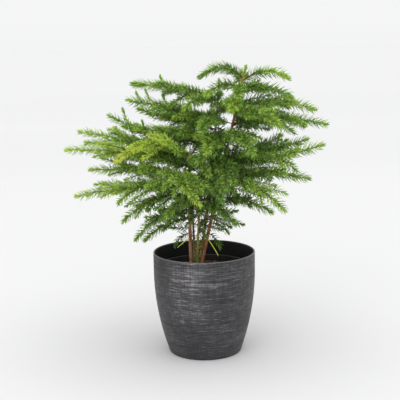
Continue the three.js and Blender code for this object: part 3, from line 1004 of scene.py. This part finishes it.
def frond_needles(index, row, name, axis, twigs):
    """A frond with its twigs, buds and upturned shoots, all clothed in needles."""
    rng = np.random.default_rng(FROND_SEED + index)
    mesher = Mesher()
    tint = TINT + 0.12 * (noise(index * 3.7) - 0.5) + FROND_TONE_AND_SHADE.get(name, 0)
    # darker green towards the trunk: partly older needles, partly painted shade
    inner = INNER_TINT + 0.3 * (tint - TINT)
    reach = 0.85 if row["stem"] == "left" else 1.0
    bud = 1.7 if name in FAT_TIPS else 1.15 * reach
    add_tube(mesher, axis, (1.5, 0.5), 6, 12, FROND_BARK, start=0.008)
    clothe(mesher, rng, axis, 1.0, 1.5, 15.5 * reach, (inner, tint), start=0.06, bud=bud)
    for curve in twigs:
        add_tube(mesher, curve, (0.8, 0.35), 5, 5, TWIG_BARK)
        near = math.hypot(*(curve[0] - axis[0])[:2]) / row["length"]
        far = math.hypot(*(curve[2] - axis[0])[:2]) / row["length"]
        tints = inner + (tint - inner) * np.array([near, min(1, far)]) + rng.normal(0, 0.03)
        clothe(mesher, rng, curve, 0.6, 1.05, 13 * reach, tints, bud=0.8)
    for curve in side_buds(row, axis, index) + upturned_shoots(name, axis):
        add_tube(mesher, curve, (0.8, 0.5), 5, 3, TWIG_BARK)
        clothe(mesher, rng, curve, 0.6, 1.2, 7, tint - 0.03)
    return mesher.build(f"{name}_needles", NEEDLES, mapped=True)


def dry_shoot(row):
    mesher = Mesher()
    add_tube(mesher, frond_curve(row), (0.95, 0.6), 8, 12, start=0.02)
    return mesher.build(f"{row['stem']}_dry_shoot_twig", DRY)


# ---- Assembly ------------------------------------------------------------


def finish_piece(piece, node):
    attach(piece, "root")
    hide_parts(node)


NEEDLES = needle_material()
BARK = bark_material("reddish_bark", (0.12, 0.040, 0.020), (0.54, 0.235, 0.11), (0.42, 0.27, 0.15))
YOUNG_BARK = bark_material("green_young_bark", (0.16, 0.10, 0.045), (0.34, 0.27, 0.10), (0.20, 0.26, 0.07))
DRY = bark_material("dry_yellow_shoot", (0.52, 0.60, 0.05), (0.76, 0.78, 0.12), (0.78, 0.70, 0.24))

pot = Mesher()
turned(pot, pot_profile(), 256)
finish_piece(pot.build("outer_pot_shell", pot_material()), "outer_pot")
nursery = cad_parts["nursery_pot"]
nursery.data.materials.clear()
nursery.data.materials.append(black_plastic())
finish_piece(soil_bed(), "potting_soil")
finish_piece(soil_litter(), "potting_soil")

for index, (name, stem) in enumerate(STEMS.items()):
    rng = np.random.default_rng(TRUNK_SEED + index)
    material = YOUNG_BARK if name == "centre" else BARK
    finish_piece(trunk_bark(name, stem, rng, material), f"{name}_trunk")
    finish_piece(trunk_needles(name, stem, rng), f"{name}_trunk")

for index, (row, name, axis, twigs) in enumerate(grow()):
    finish_piece(frond_needles(index, row, name, axis, twigs), name)

for row in DRY_SHOOTS:
    finish_piece(dry_shoot(row), f"{row['stem']}_dry_shoot")

# ---- Stage ---------------------------------------------------------------

FLOOR_HALF = 60000        # half the floor's side, in millimetres
LIGHT_TARGET = (0, 0, 0.25)
CAMERA_PLACE = (-0.0054, -1.427, 0.505)
CAMERA_DIP = 10.14        # how far the camera looks down, in degrees
CAMERA_ROLL = -0.86


def studio_floor():
    mesher = Mesher()
    corners = np.array([[-1, -1, 0], [1, -1, 0], [1, 1, 0], [-1, 1, 0]], float)
    mesher.add(corners * FLOOR_HALF, np.array([[0, 1, 2], [0, 2, 3]]))
    return mesher.build("studio_floor", floor_material())


def pale_world():
    """Even pale light from all round, a trace lighter above the horizon."""
    world = bpy.data.worlds.new("studio")
    world.use_nodes = True
    nodes, links = world.node_tree.nodes, world.node_tree.links
    way = nodes.new("ShaderNodeTexCoord")
    parts = nodes.new("ShaderNodeSeparateXYZ")
    shade = nodes.new("ShaderNodeValToRGB")
    links.new(way.outputs["Generated"], parts.inputs[0])
    links.new(parts.outputs["Z"], shade.inputs["Fac"])
    links.new(shade.outputs["Color"], nodes["Background"].inputs["Color"])
    below, above = shade.color_ramp.elements
    below.color = (0.905, 0.907, 0.912, 1)
    above.position = 0.02
    above.color = (0.915, 0.917, 0.922, 1)
    return world


def area_light(name, place, size, power):
    """A round lamp in metres and watts that faces the plant."""
    light = bpy.data.lights.new(name, "AREA")
    light.shape = "DISK"
    light.size = size
    light.energy = power
    holder = bpy.data.objects.new(name, light)
    aim = (Vector(place) - Vector(LIGHT_TARGET)).to_track_quat("Z", "Y").to_matrix().to_4x4()
    holder.matrix_world = Matrix.Translation(place) @ aim
    bpy.context.scene.collection.objects.link(holder)


def place_camera():
    camera = bpy.data.cameras.new("camera")
    camera.sensor_width = 36
    camera.lens = 81
    camera.clip_start, camera.clip_end = 0.05, 200
    holder = bpy.data.objects.new("camera", camera)
    holder.matrix_world = (
        Matrix.Translation(CAMERA_PLACE)
        @ Matrix.Rotation(math.radians(90 - CAMERA_DIP), 4, "X")
        @ Matrix.Rotation(math.radians(CAMERA_ROLL), 4, "Z")
    )
    bpy.context.scene.collection.objects.link(holder)
    bpy.context.scene.camera = holder


studio_floor()
bpy.context.scene.world = pale_world()
area_light("key_light", (0.15, -0.2, 2.5), 3.4, 46)
area_light("front_light", (-0.9, -2.2, 1.3), 2.2, 17)
place_camera()
bpy.context.scene.view_settings.view_transform = "Standard"
